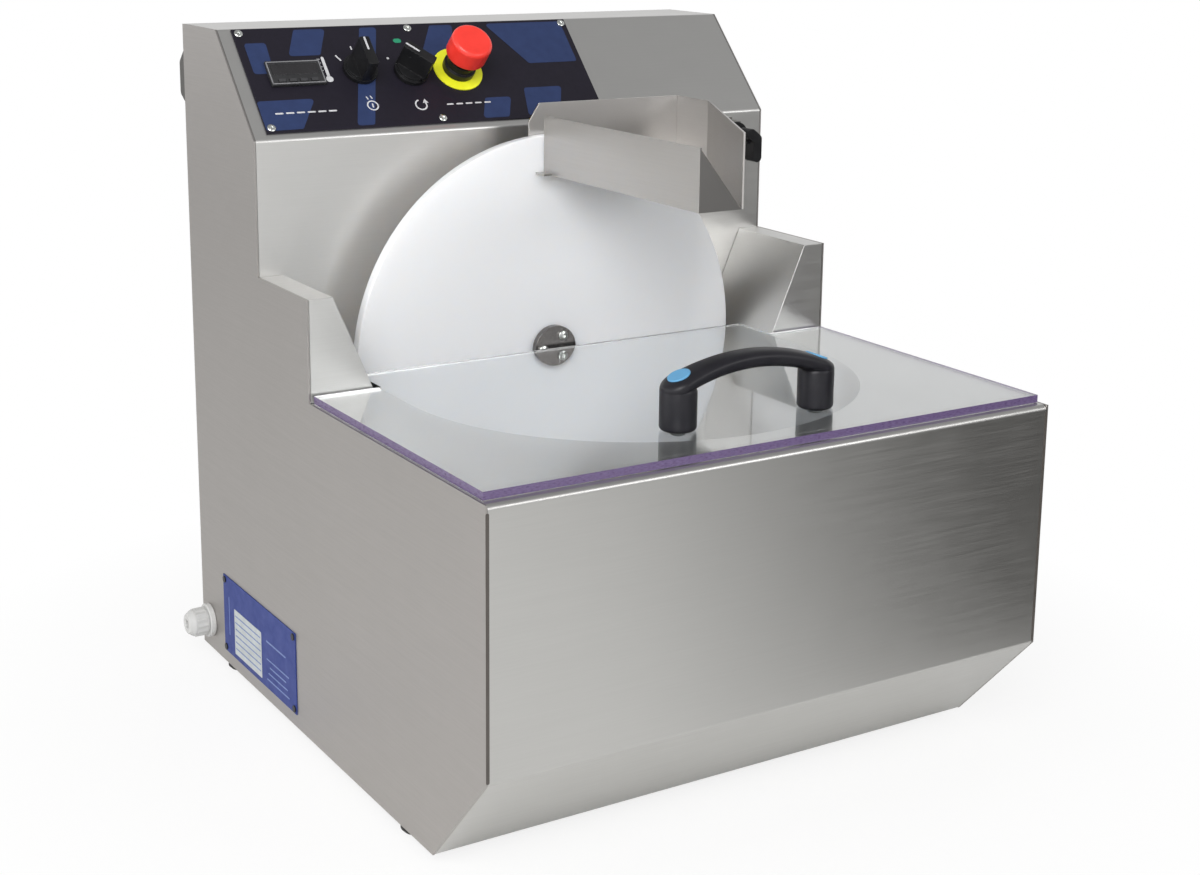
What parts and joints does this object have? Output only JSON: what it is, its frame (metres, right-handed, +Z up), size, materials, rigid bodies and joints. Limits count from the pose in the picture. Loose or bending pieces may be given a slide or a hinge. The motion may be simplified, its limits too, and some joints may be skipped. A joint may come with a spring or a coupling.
{
  "type": "chocolate moulding machine",
  "caption": "Table-top chocolate moulding machine: steel housing, heated tank under a clear lid, a vertical wheel that lifts chocolate to a spout, and a slanted control panel",
  "frame": {"origin": "centre of the underside of the whole part's outline, on the surface that the rubber feet stand on", "axes": "+Z up, -Y to the operator (lid and spout side), +X to the operator's right"},
  "size_m": [0.523, 0.5584, 0.5696],
  "materials": {
    "steel": "brushed stainless sheet",
    "dark_steel": "dark satin sheet",
    "machined_steel": "turned and polished",
    "screw_steel": "bright fasteners",
    "rubber": "black rubber",
    "white_plastic": "white food-grade plastic, satin gloss",
    "cast_housing": "painted casting",
    "pale_plastic": "matte",
    "clear_plastic": "clear acrylic sheet with polished edges",
    "black_plastic": "fine matte texture",
    "light_blue_plastic": "satin",
    "panel_print": "printed sheet, dark with blue shapes",
    "grey_plastic": "light grey",
    "dark_window": "tinted window",
    "key_plastic": "grey keys",
    "yellow_plastic": "bright yellow",
    "red_plastic": "signal red",
    "blue_print": "printed aluminium",
    "heater_silicone": "heating mat"
  },
  "bodies": {
    "housing": {"side_panel_left": "steel", "side_panel_right": "steel", "front_panel": "steel", "tower_shell": "steel", "rear_panel": "steel", "base_plate": "steel", "tank": "steel", "wing_left": "steel", "wing_right": "steel", "spout_bracket": "steel", "drive_plate": "steel", "rear_hood": "dark_steel", "rear_screws": "screw_steel", "foot_screws": "screw_steel", "gearbox_screws": "screw_steel", "motor_screws": "screw_steel", "bracket_screws": "screw_steel", "bracket_pins": "screw_steel", "panel_screws": "screw_steel", "temperature_probe": "screw_steel", "feet": "rubber", "shaft_seal": "rubber", "gearbox": "cast_housing", "motor": "cast_housing", "motor_capacitor": "pale_plastic", "stop_collar": "black_plastic", "data_plate_rivets": "black_plastic", "control_plate": "panel_print", "controller_body": "grey_plastic", "heat_switch": "grey_plastic", "wheel_switch": "grey_plastic", "stop_switch": "grey_plastic", "gland_body": "grey_plastic", "gland_nut": "grey_plastic", "gland_locknut": "grey_plastic", "controller_window": "dark_window", "stop_ring": "yellow_plastic", "data_plate": "blue_print", "heater_mat": "heater_silicone"},
    "wheel_set": {"wheel": "white_plastic", "hub_flange": "machined_steel", "hub_screws": "screw_steel", "wheel_shaft": "machined_steel"},
    "lid_set": {"lid": "clear_plastic", "lid_handle": "black_plastic", "handle_caps": "light_blue_plastic", "handle_screws": "screw_steel"},
    "spout_body": {"spout": "steel", "spout_side": "steel", "spout_back": "steel"},
    "clamp_body": {"clamp_knob": "black_plastic"},
    "heat_dial": {"heat_knob": "black_plastic"},
    "wheel_dial": {"wheel_knob": "black_plastic"},
    "stop_slide": {"stop_stem": "black_plastic"},
    "stop_head": {"stop_button": "red_plastic"},
    "key_1": {"controller_key_1": "key_plastic"},
    "key_2": {"controller_key_2": "key_plastic"},
    "key_3": {"controller_key_3": "key_plastic"},
    "key_4": {"controller_key_4": "key_plastic"}
  },
  "joints": [
    {"name": "wheel_spin", "type": "hinge", "parent": "housing", "child": "wheel_set", "pos_m": [0.0115, 0.06075, 0.297], "axis": [0, -1, 0], "continuous": true},
    {"name": "lid_lift", "type": "slide", "parent": "housing", "child": "lid_set", "axis": [0, 0, 1], "range_m": [0, 0.08]},
    {"name": "spout_lift", "type": "slide", "parent": "housing", "child": "spout_body", "axis": [0, 0, 1], "range_m": [0, 0.06]},
    {"name": "clamp_turn", "type": "hinge", "parent": "housing", "child": "clamp_body", "pos_m": [0.2085, 0.05075, 0.468], "axis": [0, -1, 0], "range_deg": [-180, 180]},
    {"name": "heat_turn", "type": "hinge", "parent": "housing", "child": "heat_dial", "pos_m": [-0.1255, 0.15041, 0.53222], "axis": [0, -0.7265, 0.6871], "range_deg": [0, 45]},
    {"name": "wheel_switch_turn", "type": "hinge", "parent": "housing", "child": "wheel_dial", "pos_m": [-0.0795, 0.14766, 0.52932], "axis": [0, -0.7265, 0.6871], "range_deg": [-45, 0]},
    {"name": "stop_press", "type": "slide", "parent": "housing", "child": "stop_slide", "axis": [0, 0.7265, -0.6871], "range_m": [0, 0.004]},
    {"name": "stop_twist", "type": "hinge", "parent": "stop_slide", "child": "stop_head", "pos_m": [-0.0345, 0.13204, 0.54409], "axis": [0, -0.7265, 0.6871], "range_deg": [-30, 0], "stiffness_Nm_per_rad": 0.05},
    {"name": "key_1_press", "type": "slide", "parent": "housing", "child": "key_1", "axis": [0, 0.7265, -0.6871], "range_m": [0, 0.0006], "stiffness_N_per_m": 400},
    {"name": "key_2_press", "type": "slide", "parent": "housing", "child": "key_2", "axis": [0, 0.7265, -0.6871], "range_m": [0, 0.0006], "stiffness_N_per_m": 400},
    {"name": "key_3_press", "type": "slide", "parent": "housing", "child": "key_3", "axis": [0, 0.7265, -0.6871], "range_m": [0, 0.0006], "stiffness_N_per_m": 400},
    {"name": "key_4_press", "type": "slide", "parent": "housing", "child": "key_4", "axis": [0, 0.7265, -0.6871], "range_m": [0, 0.0006], "stiffness_N_per_m": 400}
  ]
}
